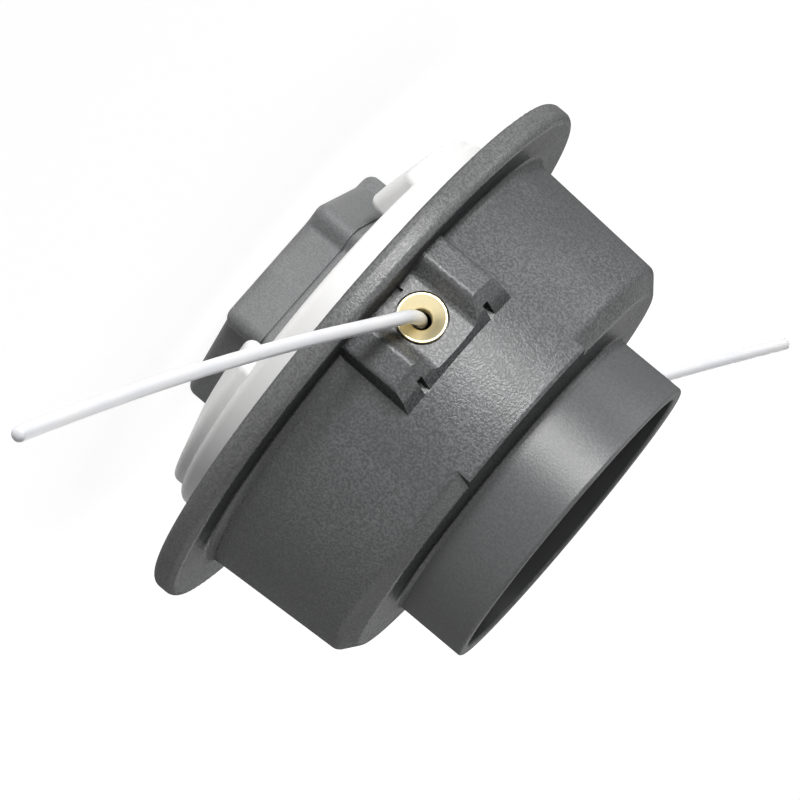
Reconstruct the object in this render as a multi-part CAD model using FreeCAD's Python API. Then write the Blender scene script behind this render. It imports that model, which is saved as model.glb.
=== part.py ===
import FreeCAD, Part
import math
import os

from FreeCAD import Vector

# Bump feed trimmer head, standing on its knob with the collar up.
# Millimetres and degrees. The axis of rotation is Z, and the two eyelets lie on -Y and +Y.

# Rim, drum and shoulder of the housing
RIM_RADIUS = 55.0
RIM_BOTTOM_Z = 17.6
RIM_THICKNESS = 4.8
RIM_EDGE_RADIUS = 1.6
DRUM_RADIUS_AT_RIM = 45.2
DRUM_RADIUS_AT_SHOULDER = 43.4
DRUM_ROOT_RADIUS = 1.6
DRUM_WALL = 3.0
MOUTH_EDGE_RADIUS = 0.5
SHOULDER_Z = 52.8
SHOULDER_RISE = 0.8
SHOULDER_CHAMFER_WIDTH = 3.4
SHOULDER_CHAMFER_HEIGHT = 2.6
SHOULDER_EDGE_RADIUS = 1.8
CEILING_THICKNESS = 3.0
LAND_HALF_WIDTH = 15.2

# Collar and the boss inside it
COLLAR_RADIUS = 30.4
COLLAR_WALL = 2.4
COLLAR_TOP_Z = 67.7
COLLAR_EDGE_RADIUS = 0.6
COLLAR_ROOT_RADIUS = 1.0
BOSS_RADIUS = 12.0
BOSS_HEIGHT = 3.6
RIB_COUNT = 6
RIB_THICKNESS = 2.2
RIB_HEIGHT = 2.4

# Hub tube that the spool slides and turns on
HUB_RADIUS = 9.5
HUB_END_Z = 29.0
SPOOL_RUNNING_CLEARANCE = 0.05

# Eyelet pads
EYELET_Z = 29.1
PAD_HALF_WIDTH = 13.8
PAD_END_Z = 38.0
PAD_END_SLOPE_DEG = 58.0
PAD_CREST_SLOPE_DEG = 38.0
PAD_CREST_Y = 47.2
PAD_END_RADIUS = 3.0
PAD_FLOOR_Y = 45.7
PAD_EAR_Y = 48.7
PAD_EAR_OUTER_Y = 47.3
PAD_FLANK_DRAFT = 0.9
PAD_VALLEY_HALF_WIDTH = 5.0
PAD_VALLEY_SLOPE_WIDTH = 2.6
PAD_EDGE_RADIUS = 1.3
SLOT_X = -0.6
SLOT_WIDTH = 2.2
SLOT_HEIGHT = 1.3
SLOT_DEPTH = 1.2
NOTCH_X = 8.6
NOTCH_SIZE = 1.2

# Brass eyelets
EYELET_BORE_RADIUS = 1.9
EYELET_SLEEVE_RADIUS = 3.1
EYELET_FLANGE_RADIUS = 4.4
EYELET_FLANGE_THICKNESS = 1.5
EYELET_LIP = 0.35
EYELET_SEAT_CLEARANCE = 0.3

# Ratchet: cams on the drum wall in two rows, lugs on the spool
CAM_COUNT = 6
CAM_HALF_ANGLE = 6.0
CAM_INNER_RADIUS = 37.4
LOWER_CAM_OVERHANG = 0.4
CAM_ROW_GAP = 1.0
LUG_HALF_ANGLE = 5.0
LUG_HEIGHT = 2.5
LUG_RADIAL_CLEARANCE = 0.8
BUMP_TRAVEL = 6.0
BUMP_END_CLEARANCE = 0.8

# Spool
SPOOL_RADIUS = 40.7
SPOOL_HUB_RADIUS = 18.0
SPOOL_SEAT_Z = 10.2
SPOOL_SEAT_RADIUS = 28.6
SPOOL_EDGE_Z = 11.7
SPOOL_EDGE_RADIUS = 1.6
SPOOL_PLATE = 3.0
SPOOL_LIP_HEIGHT = 7.6
SPOOL_LIP_WALL = 2.0
SPOOL_WEB = 3.0
SPOOL_SOCKET_RADIUS = 14.0
SPRING_POCKET_RADIUS = 14.2
DIVIDER_RADIUS = 39.4
DIVIDER_THICKNESS = 1.8
UPPER_FLANGE_RADIUS = 36.8
UPPER_FLANGE_THICKNESS = 2.0
LINE_NOTCH_WIDTH = 3.2
LINE_NOTCH_DEPTH = 5.0
LINE_NOTCH_COUNT = 2

# Grip lobes under the spool
GRIP_COUNT = 3
GRIP_FIRST_ANGLE = -148.6
GRIP_HALF_ANGLE = 27.0
GRIP_INNER_RADIUS = 27.6
GRIP_INNER_DROP = 4.4
GRIP_OUTER_DROP = 2.2
GRIP_EDGE_RADIUS = 1.7

# Bump knob
KNOB_LOBES = 6
KNOB_VALLEY_RADIUS = 22.4
KNOB_TIP_RADIUS = 26.4
KNOB_FIRST_STEP_ANGLE = -108.4
KNOB_STEP_ANGLE = 5.5
KNOB_VALLEY_FILLET = 1.4
KNOB_TIP_FILLET = 2.4
KNOB_BOTTOM_RADIUS = 2.0
KNOB_FLOOR = 3.0
KNOB_WALL = 3.0
KNOB_LIP_HEIGHT = 1.8
KNOB_LIP_FLARE = 0.7
KNOB_GROOVE_WIDTH = 0.5
KNOB_GROOVE_DEPTH = 0.5
KNOB_SKIRT_WALL = 2.8
KNOB_SKIRT_GAP = 0.5
KNOB_SOCKET_CLEARANCE = 0.05

# Steel parts on the axis
INSERT_ACROSS_FLATS = 14.0
INSERT_HEX_LENGTH = 11.5
INSERT_PROUD = 0.6
INSERT_SHANK_RADIUS = 6.8
ARBOR_THREAD_RADIUS = 4.5
ARBOR_THREAD_LENGTH = 14.0
BOLT_THREAD_RADIUS = 5.1
BOLT_LENGTH = 12.0
BOLT_HEAD_RADIUS = 8.0
BOLT_HEAD_HEIGHT = 5.0
BOLT_SOCKET_ACROSS_FLATS = 8.0
BOLT_SOCKET_DEPTH = 3.0
WASHER_RADIUS = 13.0
WASHER_THICKNESS = 2.0
WASHER_HOLE_CLEARANCE = 0.4
SEAT_THICKNESS = 1.2
SEAT_CLEARANCE = 0.3
SPRING_WIRE_RADIUS = 0.8
SPRING_MEAN_RADIUS = 11.9
SPRING_TURNS = 5.0
SPRING_WIRE_SIDES = 8
SPRING_END_GAP = 0.02

# Cutting line
LINE_DIAMETER = 2.4
WINDING_RADIUS = 32.0
WINDING_TURNS_ACROSS = 4
WINDING_CLEARANCE = 0.05
FRONT_ROUTE = [
    (-0.4, -41.6, 28.9),
    (0.4, -48.2, 28.6),
    (7.6, -56.1, 25.9),
    (20.8, -71.6, 20.9),
    (35.4, -89.4, 16.3),
    (55.6, -114.5, 10.9),
    (75.1, -138.7, 6.9),
]
REAR_ROUTE = [
    (0.4, 41.6, 28.9),
    (-0.4, 48.2, 29.9),
    (-7.1, 56.1, 33.6),
    (-19.3, 66.5, 39.6),
    (-35.1, 77.6, 47.0),
    (-57.9, 89.7, 58.0),
    (-79.8, 100.7, 70.2),
]
ROUTE_ARC_SHARE = 0.45

# Heights and radii that follow from the sizes above
RIM_TOP_Z = RIM_BOTTOM_Z + RIM_THICKNESS
CEILING_Z = SHOULDER_Z - CEILING_THICKNESS
MOUTH_RADIUS = DRUM_RADIUS_AT_RIM - DRUM_WALL
CAVITY_TOP_RADIUS = DRUM_RADIUS_AT_SHOULDER - DRUM_WALL
BOSS_TOP_Z = SHOULDER_Z + SHOULDER_RISE + BOSS_HEIGHT
INSERT_TOP_Z = BOSS_TOP_Z + INSERT_PROUD
WELL_FLOOR_Z = SHOULDER_Z + SHOULDER_RISE
SPOOL_TOP_Z = CEILING_Z - BUMP_END_CLEARANCE - BUMP_TRAVEL
LUG_BOTTOM_Z = SPOOL_TOP_Z - LUG_HEIGHT
WEB_TOP_Z = HUB_END_Z + SPOOL_WEB
SEAT_TOP_Z = WEB_TOP_Z + SEAT_THICKNESS
WASHER_BOTTOM_Z = HUB_END_Z - WASHER_THICKNESS
PLATE_TOP_Z = SPOOL_SEAT_Z + SPOOL_PLATE
UPPER_FLANGE_Z = SPOOL_TOP_Z - UPPER_FLANGE_THICKNESS
DIVIDER_Z = (PLATE_TOP_Z + UPPER_FLANGE_Z - DIVIDER_THICKNESS) / 2
LINE_RADIUS = LINE_DIAMETER / 2

AXIS = Vector(0, 0, 1)
ORIGIN = Vector(0, 0, 0)


def drum_radius(height):
    """Radius of the drum's outer wall, which tapers from the rim to the shoulder."""
    share = (height - RIM_TOP_Z) / (SHOULDER_Z - RIM_TOP_Z)
    return DRUM_RADIUS_AT_RIM + share * (DRUM_RADIUS_AT_SHOULDER - DRUM_RADIUS_AT_RIM)


def shoulder_height(radius):
    """Height of the shoulder's low cone, which rises from the drum to the collar."""
    share = (DRUM_RADIUS_AT_SHOULDER - radius) / (DRUM_RADIUS_AT_SHOULDER - COLLAR_RADIUS)
    return SHOULDER_Z + share * SHOULDER_RISE


def upright(a, b):
    """Point of a turned outline: radius a, height b."""
    return Vector(a, 0, b)


def level(a, b):
    """Point of a flat outline in the XY plane."""
    return Vector(a, b, 0)


def polar(radius, angle):
    """X and Y of a point at a radius and an angle in degrees."""
    turn = math.radians(angle)
    return radius * math.cos(turn), radius * math.sin(turn)


def rounded_face(corners, place):
    """Face inside a closed outline of (a, b, radius) corners, each rounded by a tangent arc."""
    points = [place(a, b) for a, b, _ in corners]
    starts, ends, mids = [], [], []
    for index, (_, _, radius) in enumerate(corners):
        corner = points[index]
        back = (points[index - 1] - corner).normalize()
        ahead = (points[(index + 1) % len(points)] - corner).normalize()
        half = back.getAngle(ahead) / 2
        reach = radius / math.tan(half)
        starts.append(corner + back * reach)
        ends.append(corner + ahead * reach)
        bisector = (back + ahead).normalize()
        mids.append(corner + bisector * (radius / math.sin(half) - radius))
    edges = []
    for index, (_, _, radius) in enumerate(corners):
        if radius > 0:
            edges.append(Part.Arc(starts[index], mids[index], ends[index]).toShape())
        following = starts[(index + 1) % len(corners)]
        edges.append(Part.LineSegment(ends[index], following).toShape())
    return Part.Face(Part.Wire(edges))


def turned(corners, start=0.0, sweep=360.0):
    """Solid turned about Z from (radius, height, corner radius) corners, over a sweep of degrees."""
    solid = rounded_face(corners, upright).revolve(ORIGIN, AXIS, sweep)
    solid.rotate(ORIGIN, AXIS, start)
    return solid


def ring(inner, outer, bottom, top, start=0.0, sweep=360.0):
    """Turned ring of rectangular section."""
    return turned([(inner, bottom, 0), (outer, bottom, 0), (outer, top, 0), (inner, top, 0)], start, sweep)


def rod(radius, bottom, top):
    """Round bar on the axis."""
    return Part.makeCylinder(radius, top - bottom, Vector(0, 0, bottom))


def hexagon(across_flats, bottom, top):
    """Six-sided bar on the axis."""
    corner = across_flats / math.sqrt(3)
    points = [level(*polar(corner, 60 * side)) for side in range(7)]
    bar = Part.Face(Part.makePolygon(points)).extrude(AXIS * (top - bottom))
    bar.translate(AXIS * bottom)
    return bar


def block(x_low, x_high, y_low, y_high, z_low, z_high):
    """Box between two corners."""
    return Part.makeBox(x_high - x_low, y_high - y_low, z_high - z_low, Vector(x_low, y_low, z_low))


def half_turned(solid):
    """Copy of a solid, half a turn round the axis."""
    copy = solid.copy()
    copy.rotate(ORIGIN, AXIS, 180)
    return copy


def housing_shell():
    """Turned shell of the housing, from the rim to the collar and down the hub tube."""
    chamfer_z = SHOULDER_Z - SHOULDER_CHAMFER_HEIGHT
    chamfer_radius = DRUM_RADIUS_AT_SHOULDER - SHOULDER_CHAMFER_WIDTH
    bore = COLLAR_RADIUS - COLLAR_WALL
    return turned([
        (MOUTH_RADIUS, RIM_BOTTOM_Z, MOUTH_EDGE_RADIUS),
        (RIM_RADIUS, RIM_BOTTOM_Z, RIM_EDGE_RADIUS),
        (RIM_RADIUS, RIM_TOP_Z, RIM_EDGE_RADIUS),
        (DRUM_RADIUS_AT_RIM, RIM_TOP_Z, DRUM_ROOT_RADIUS),
        (drum_radius(chamfer_z), chamfer_z, SHOULDER_EDGE_RADIUS),
        (chamfer_radius, shoulder_height(chamfer_radius), SHOULDER_EDGE_RADIUS),
        (COLLAR_RADIUS, WELL_FLOOR_Z, COLLAR_ROOT_RADIUS),
        (COLLAR_RADIUS, COLLAR_TOP_Z, COLLAR_EDGE_RADIUS),
        (bore, COLLAR_TOP_Z, COLLAR_EDGE_RADIUS),
        (bore, WELL_FLOOR_Z, COLLAR_ROOT_RADIUS),
        (BOSS_RADIUS, WELL_FLOOR_Z, COLLAR_ROOT_RADIUS),
        (BOSS_RADIUS, BOSS_TOP_Z, COLLAR_EDGE_RADIUS),
        (INSERT_SHANK_RADIUS, BOSS_TOP_Z, 0),
        (INSERT_SHANK_RADIUS, HUB_END_Z, 0),
        (HUB_RADIUS, HUB_END_Z, 0),
        (HUB_RADIUS, CEILING_Z, 0),
        (CAVITY_TOP_RADIUS, CEILING_Z, 0),
    ])


def drum_cavity():
    """Space inside the drum, used to trim what is added to the wall from outside."""
    return turned([
        (0, RIM_BOTTOM_Z, 0),
        (MOUTH_RADIUS, RIM_BOTTOM_Z, 0),
        (CAVITY_TOP_RADIUS, CEILING_Z, 0),
        (0, CEILING_Z, 0),
    ])


def shoulder_lands():
    """The two stretches of wall over the eyelets that run up to the shoulder without the chamfer."""
    low = SHOULDER_Z - SHOULDER_CHAMFER_HEIGHT - SHOULDER_EDGE_RADIUS
    inner = DRUM_RADIUS_AT_SHOULDER - SHOULDER_CHAMFER_WIDTH - SHOULDER_EDGE_RADIUS
    wedge = turned([
        (inner, shoulder_height(inner), 0),
        (drum_radius(low), low, 0),
        (DRUM_RADIUS_AT_SHOULDER, SHOULDER_Z, SHOULDER_CHAMFER_HEIGHT / 4),
    ])
    reach = RIM_RADIUS
    return wedge.common(block(-LAND_HALF_WIDTH, LAND_HALF_WIDTH, -reach, reach, low, COLLAR_TOP_Z))


def eyelet_pad():
    """Raised pad round the front eyelet: two ears with a flat-floored valley between them."""
    inner = MOUTH_RADIUS * math.cos(math.asin(PAD_HALF_WIDTH / MOUTH_RADIUS))
    shoulder = PAD_HALF_WIDTH - PAD_FLANK_DRAFT
    crest = PAD_VALLEY_HALF_WIDTH + PAD_VALLEY_SLOPE_WIDTH
    half = [
        (PAD_HALF_WIDTH, -inner, 0),
        (shoulder, -PAD_EAR_OUTER_Y, PAD_EDGE_RADIUS),
        (crest, -PAD_EAR_Y, PAD_EDGE_RADIUS),
        (PAD_VALLEY_HALF_WIDTH, -PAD_FLOOR_Y, PAD_EDGE_RADIUS),
    ]
    mirrored = [(-x, y, radius) for x, y, radius in reversed(half)]
    pad = rounded_face(half + mirrored, level).extrude(AXIS * (PAD_END_Z - RIM_TOP_Z))
    pad.translate(AXIS * RIM_TOP_Z)

    # The end towards the collar slopes down to the drum, and the ears' crests are eased into the slope
    foot = drum_radius(PAD_END_Z) - DRUM_WALL / 10
    bend_z = PAD_END_Z - (PAD_CREST_Y - foot) / math.tan(math.radians(PAD_END_SLOPE_DEG))
    low_z = bend_z - (RIM_RADIUS - PAD_CREST_Y) / math.tan(math.radians(PAD_CREST_SLOPE_DEG))
    tool = turned([
        (foot, PAD_END_Z, 0),
        (PAD_CREST_Y, bend_z, PAD_END_RADIUS),
        (RIM_RADIUS, low_z, 0),
        (RIM_RADIUS, SHOULDER_Z, 0),
        (foot, SHOULDER_Z, 0),
    ])
    return pad.cut(tool)


def pad_details():
    """Small cuts in the front pad: a slot by the rim and two notches at the sloped end."""
    slot = block(SLOT_X - SLOT_WIDTH / 2, SLOT_X + SLOT_WIDTH / 2, -PAD_EAR_Y, -PAD_FLOOR_Y + SLOT_DEPTH,
                 RIM_TOP_Z, RIM_TOP_Z + SLOT_HEIGHT)
    cuts = [slot]
    for side in (-1, 1):
        middle = side * NOTCH_X
        depth = math.sqrt(drum_radius(PAD_END_Z) ** 2 - NOTCH_X ** 2)
        low = PAD_END_Z - 2 * NOTCH_SIZE
        cuts.append(block(middle - NOTCH_SIZE / 2, middle + NOTCH_SIZE / 2, -PAD_EAR_Y, -depth, low, PAD_END_Z))
    return cuts


def along_front(solid):
    """A solid turned about Z, laid along -Y at the height of the eyelets."""
    solid.rotate(ORIGIN, Vector(1, 0, 0), 90)
    solid.translate(AXIS * EYELET_Z)
    return solid


def eyelet_hole():
    """Hole for the front eyelet: its sleeve's bore and the seat of its flange."""
    seat_y = PAD_FLOOR_Y - EYELET_FLANGE_THICKNESS + EYELET_LIP
    sleeve = rod(EYELET_SLEEVE_RADIUS, HUB_RADIUS, PAD_EAR_Y)
    inside = rod(EYELET_SLEEVE_RADIUS, 0, CAVITY_TOP_RADIUS - DRUM_WALL)
    flange = rod(EYELET_FLANGE_RADIUS + EYELET_SEAT_CLEARANCE, seat_y, PAD_EAR_Y)
    return along_front(sleeve.cut(inside).fuse(flange))


def eyelet():
    """Brass eyelet for the front pad: a flanged sleeve with a wide countersunk mouth."""
    face_y = PAD_FLOOR_Y + EYELET_LIP
    seat_y = face_y - EYELET_FLANGE_THICKNESS
    inner_y = math.sqrt(MOUTH_RADIUS ** 2 - EYELET_SLEEVE_RADIUS ** 2)
    mouth = EYELET_FLANGE_RADIUS - EYELET_LIP
    cone_y = face_y - (mouth - EYELET_BORE_RADIUS) / 2
    return along_front(turned([
        (EYELET_BORE_RADIUS, inner_y, EYELET_LIP),
        (EYELET_SLEEVE_RADIUS, inner_y, EYELET_LIP),
        (EYELET_SLEEVE_RADIUS, seat_y, 0),
        (EYELET_FLANGE_RADIUS, seat_y, 0),
        (EYELET_FLANGE_RADIUS, face_y, EYELET_LIP / 3),
        (mouth, face_y, EYELET_LIP / 3),
        (EYELET_BORE_RADIUS, cone_y, EYELET_LIP),
    ]))


def cams():
    """Two rows of cams on the drum wall, the upper row half a pitch round from the lower one."""
    pitch = 360 / CAM_COUNT
    outer = DRUM_RADIUS_AT_SHOULDER - DRUM_WALL / 2
    lower_bottom = LUG_BOTTOM_Z - LOWER_CAM_OVERHANG
    lower_top = LUG_BOTTOM_Z + (BUMP_TRAVEL + LUG_HEIGHT - CAM_ROW_GAP) / 2
    rows = ((0, lower_bottom, lower_top), (pitch / 2, lower_top + CAM_ROW_GAP, CEILING_Z))
    shapes = []
    for offset, bottom, top in rows:
        for index in range(CAM_COUNT):
            start = offset + index * pitch - CAM_HALF_ANGLE
            shapes.append(ring(CAM_INNER_RADIUS, outer, bottom, top, start, 2 * CAM_HALF_ANGLE))
    return shapes


def collar_ribs():
    """Radial ribs on the floor of the collar, from the boss to the wall."""
    shapes = []
    for index in range(RIB_COUNT):
        rib = block(BOSS_RADIUS - COLLAR_EDGE_RADIUS, COLLAR_RADIUS - COLLAR_WALL / 2,
                    -RIB_THICKNESS / 2, RIB_THICKNESS / 2, SHOULDER_Z, WELL_FLOOR_Z + RIB_HEIGHT)
        rib.rotate(ORIGIN, AXIS, 360 / RIB_COUNT * (index + 0.5))
        shapes.append(rib)
    return shapes


def housing():
    """The moulded housing, with its pads, lands, cams and the seat of the arbor insert."""
    pad = eyelet_pad().cut(drum_cavity())
    body = housing_shell().multiFuse([shoulder_lands(), pad, half_turned(pad)] + cams() + collar_ribs())
    tools = pad_details() + [eyelet_hole()]
    tools += [half_turned(tool) for tool in tools]
    tools.append(hexagon(INSERT_ACROSS_FLATS, INSERT_TOP_Z - INSERT_HEX_LENGTH, INSERT_TOP_Z))
    return body.cut(Part.makeCompound(tools)).removeSplitter()


def arbor_insert():
    """Steel insert: a hexagon in the boss, a shank in the hub tube, and a wider thread below the arbor's."""
    hexagon_bottom = INSERT_TOP_Z - INSERT_HEX_LENGTH
    body = hexagon(INSERT_ACROSS_FLATS, hexagon_bottom, INSERT_TOP_Z)
    body = body.fuse(rod(INSERT_SHANK_RADIUS, HUB_END_Z, hexagon_bottom))
    thread_bottom = INSERT_TOP_Z - ARBOR_THREAD_LENGTH
    body = body.cut(rod(ARBOR_THREAD_RADIUS, thread_bottom, INSERT_TOP_Z))
    return body.cut(rod(BOLT_THREAD_RADIUS, HUB_END_Z, thread_bottom))


def retaining_bolt():
    """Socket-head bolt screwed up into the insert, its head against the washer."""
    head_bottom = WASHER_BOTTOM_Z - BOLT_HEAD_HEIGHT
    body = rod(BOLT_HEAD_RADIUS, head_bottom, WASHER_BOTTOM_Z)
    body = body.fuse(rod(BOLT_THREAD_RADIUS, WASHER_BOTTOM_Z, WASHER_BOTTOM_Z + BOLT_LENGTH))
    return body.cut(hexagon(BOLT_SOCKET_ACROSS_FLATS, head_bottom, head_bottom + BOLT_SOCKET_DEPTH))


def retaining_washer():
    """Washer clamped against the hub's end, which stops the spool."""
    return ring(BOLT_THREAD_RADIUS + WASHER_HOLE_CLEARANCE, WASHER_RADIUS, WASHER_BOTTOM_Z, HUB_END_Z)


def spring_seat():
    """Ring between the spring and the spool's web."""
    return ring(HUB_RADIUS + SEAT_CLEARANCE, SPRING_POCKET_RADIUS - SEAT_CLEARANCE, WEB_TOP_Z, SEAT_TOP_Z)


def compression_spring():
    """Spring between its seat and the housing's ceiling, its wire drawn with flat sides."""
    bottom = SEAT_TOP_Z + SPRING_WIRE_RADIUS + SPRING_END_GAP
    height = CEILING_Z - SPRING_WIRE_RADIUS - SPRING_END_GAP - bottom
    path = Part.makeHelix(height / SPRING_TURNS, height, SPRING_MEAN_RADIUS)
    path.translate(AXIS * bottom)
    coil = path.Edges[0]
    start = coil.Vertexes[0].Point
    outwards = Vector(start.x, start.y, 0).normalize()
    upwards = coil.tangentAt(coil.FirstParameter).cross(outwards)
    corners = []
    for side in range(SPRING_WIRE_SIDES):
        across, along = polar(SPRING_WIRE_RADIUS, 360 / SPRING_WIRE_SIDES * side)
        corners.append(start + outwards * across + upwards * along)
    section = Part.makePolygon(corners + corners[:1])
    return Part.Wire([coil]).makePipeShell([section], True, True)


def grip_lobes():
    """Raised lobes under the spool's plate that a hand turns it by."""
    outer = SPOOL_RADIUS - SPOOL_EDGE_RADIUS / 2
    drop = SPOOL_EDGE_Z - GRIP_OUTER_DROP
    shapes = []
    for index in range(GRIP_COUNT):
        start = GRIP_FIRST_ANGLE + index * 360 / GRIP_COUNT - GRIP_HALF_ANGLE
        lobe = turned([
            (GRIP_INNER_RADIUS, PLATE_TOP_Z - SPOOL_PLATE / 2, 0),
            (GRIP_INNER_RADIUS, SPOOL_SEAT_Z - GRIP_INNER_DROP, 0),
            (outer, drop, 0),
            (outer, PLATE_TOP_Z - SPOOL_PLATE / 2, 0),
        ], start, 2 * GRIP_HALF_ANGLE)
        low = [edge for edge in lobe.Edges if edge.BoundBox.ZMin < SPOOL_SEAT_Z]
        shapes.append(lobe.makeFillet(GRIP_EDGE_RADIUS, low))
    return shapes


def spool():
    """White spool: dished lower plate, divider and upper flange on a hub, lobes below, lugs above."""
    bore = HUB_RADIUS + SPOOL_RUNNING_CLEARANCE
    lip_top = SPOOL_EDGE_Z + SPOOL_LIP_HEIGHT
    divider_top = DIVIDER_Z + DIVIDER_THICKNESS
    body = turned([
        (SPOOL_SOCKET_RADIUS, SPOOL_SEAT_Z, 0),
        (SPOOL_SEAT_RADIUS, SPOOL_SEAT_Z, 0),
        (SPOOL_RADIUS, SPOOL_EDGE_Z, SPOOL_EDGE_RADIUS),
        (SPOOL_RADIUS, lip_top, SPOOL_LIP_WALL / 3),
        (SPOOL_RADIUS - SPOOL_LIP_WALL, lip_top, SPOOL_LIP_WALL / 3),
        (SPOOL_RADIUS - SPOOL_LIP_WALL, PLATE_TOP_Z + SPOOL_EDGE_Z - SPOOL_SEAT_Z, SPOOL_EDGE_RADIUS),
        (SPOOL_HUB_RADIUS, PLATE_TOP_Z, SPOOL_LIP_WALL / 4),
        (SPOOL_HUB_RADIUS, DIVIDER_Z, 0),
        (DIVIDER_RADIUS, DIVIDER_Z, DIVIDER_THICKNESS / 3),
        (DIVIDER_RADIUS, divider_top, DIVIDER_THICKNESS / 3),
        (SPOOL_HUB_RADIUS, divider_top, 0),
        (SPOOL_HUB_RADIUS, UPPER_FLANGE_Z, 0),
        (UPPER_FLANGE_RADIUS, UPPER_FLANGE_Z, 0),
        (UPPER_FLANGE_RADIUS, SPOOL_TOP_Z, 0),
        (SPRING_POCKET_RADIUS, SPOOL_TOP_Z, 0),
        (SPRING_POCKET_RADIUS, WEB_TOP_Z, 0),
        (bore, WEB_TOP_Z, 0),
        (bore, HUB_END_Z, 0),
        (SPOOL_SOCKET_RADIUS, HUB_END_Z, 0),
    ])
    lug_outer = CAVITY_TOP_RADIUS - LUG_RADIAL_CLEARANCE
    pitch = 360 / CAM_COUNT
    lugs = []
    for index in range(CAM_COUNT):
        start = (index + 0.25) * pitch - LUG_HALF_ANGLE
        lugs.append(ring(UPPER_FLANGE_RADIUS - LINE_DIAMETER, lug_outer, LUG_BOTTOM_Z, SPOOL_TOP_Z,
                         start, 2 * LUG_HALF_ANGLE))
    notches = []
    for index in range(LINE_NOTCH_COUNT):
        notch = block(DIVIDER_RADIUS - LINE_NOTCH_DEPTH, RIM_RADIUS, -LINE_NOTCH_WIDTH / 2,
                      LINE_NOTCH_WIDTH / 2, DIVIDER_Z, divider_top)
        notch.rotate(ORIGIN, AXIS, index * 360 / LINE_NOTCH_COUNT)
        notches.append(notch)
    body = body.multiFuse(grip_lobes() + lugs)
    return body.cut(Part.makeCompound(notches)).removeSplitter()


def winding(chamber_bottom, chamber_top):
    """Wound line in one chamber: the outer layer's turns show as a row of beads."""
    middle = (chamber_bottom + chamber_top) / 2
    bottom = middle - WINDING_TURNS_ACROSS * LINE_RADIUS
    top = middle + WINDING_TURNS_ACROSS * LINE_RADIUS
    inner = SPOOL_HUB_RADIUS + WINDING_CLEARANCE
    crest = WINDING_RADIUS - LINE_RADIUS
    edges = [Part.LineSegment(upright(inner, bottom), upright(crest, bottom)).toShape()]
    for turn in range(WINDING_TURNS_ACROSS):
        low = bottom + turn * LINE_DIAMETER
        edges.append(Part.Arc(upright(crest, low), upright(WINDING_RADIUS, low + LINE_RADIUS),
                              upright(crest, low + LINE_DIAMETER)).toShape())
    edges.append(Part.LineSegment(upright(crest, top), upright(inner, top)).toShape())
    edges.append(Part.LineSegment(upright(inner, top), upright(inner, bottom)).toShape())
    return Part.Face(Part.Wire(edges)).revolve(ORIGIN, AXIS, 360)


def knob_outline(grow):
    """Saw-tooth outline of the knob, grown outwards by a margin: flat facets that end in steep steps."""
    pitch = 360 / KNOB_LOBES
    corners = []
    for index in range(KNOB_LOBES):
        step = KNOB_FIRST_STEP_ANGLE + index * pitch
        tip = polar(KNOB_TIP_RADIUS + grow, step - KNOB_STEP_ANGLE / 2)
        valley = polar(KNOB_VALLEY_RADIUS + grow, step + KNOB_STEP_ANGLE / 2)
        corners.append((*tip, KNOB_TIP_FILLET))
        corners.append((*valley, KNOB_VALLEY_FILLET))
    return rounded_face(corners, level)


def bump_knob():
    """Black knob: a lobed cup, a grooved lip against the spool and a skirt screwed up into the spool's socket."""
    side_top = SPOOL_SEAT_Z - KNOB_LIP_HEIGHT
    cup = knob_outline(0).extrude(AXIS * SPOOL_SEAT_Z)
    low = [edge for edge in cup.Edges if edge.BoundBox.ZMax < KNOB_BOTTOM_RADIUS / 2]
    cup = cup.makeFillet(KNOB_BOTTOM_RADIUS, low)
    lip = knob_outline(KNOB_LIP_FLARE).extrude(AXIS * KNOB_LIP_HEIGHT)
    lip.translate(AXIS * side_top)
    groove = knob_outline(KNOB_LIP_FLARE).cut(knob_outline(-KNOB_GROOVE_DEPTH)).extrude(AXIS * KNOB_GROOVE_WIDTH)
    groove.translate(AXIS * (side_top - KNOB_GROOVE_WIDTH))
    skirt_radius = SPOOL_SOCKET_RADIUS - KNOB_SOCKET_CLEARANCE
    skirt_top = WASHER_BOTTOM_Z - BUMP_TRAVEL - KNOB_SKIRT_GAP
    hollow = ring(skirt_radius, KNOB_VALLEY_RADIUS - KNOB_WALL, KNOB_FLOOR, SPOOL_SEAT_Z)
    body = cup.fuse(lip).cut(groove).cut(hollow).fuse(rod(skirt_radius, 0, skirt_top))
    return body.cut(rod(skirt_radius - KNOB_SKIRT_WALL, KNOB_FLOOR, skirt_top)).removeSplitter()


def line_end(route):
    """Free end of the cutting line: straight runs joined by tangent arcs, as large as the runs allow."""
    points = [Vector(*point) for point in route]
    edges = []
    last = points[0]
    radii = []
    for before, corner, after in zip(points, points[1:], points[2:]):
        back = before - corner
        ahead = after - corner
        reach = ROUTE_ARC_SHARE * min(back.Length, ahead.Length)
        back.normalize()
        ahead.normalize()
        half = back.getAngle(ahead) / 2
        radius = reach * math.tan(half)
        middle = corner + (back + ahead).normalize() * (radius / math.sin(half) - radius)
        start = corner + back * reach
        end = corner + ahead * reach
        edges.append(Part.LineSegment(last, start).toShape())
        edges.append(Part.Arc(start, middle, end).toShape())
        radii.append(radius)
        last = end
    edges.append(Part.LineSegment(last, points[-1]).toShape())
    length = sum(edge.Length for edge in edges)
    section = Part.Wire(Part.makeCircle(LINE_RADIUS, points[0], points[1] - points[0]))
    tube = Part.Wire(edges).makePipeShell([section], True, True)
    expected = math.pi * LINE_RADIUS ** 2 * length
    print("line length", round(length, 1), "radii", [round(radius, 1) for radius in radii],
          "volume ratio", round(tube.Volume / expected, 4))
    return tube


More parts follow.
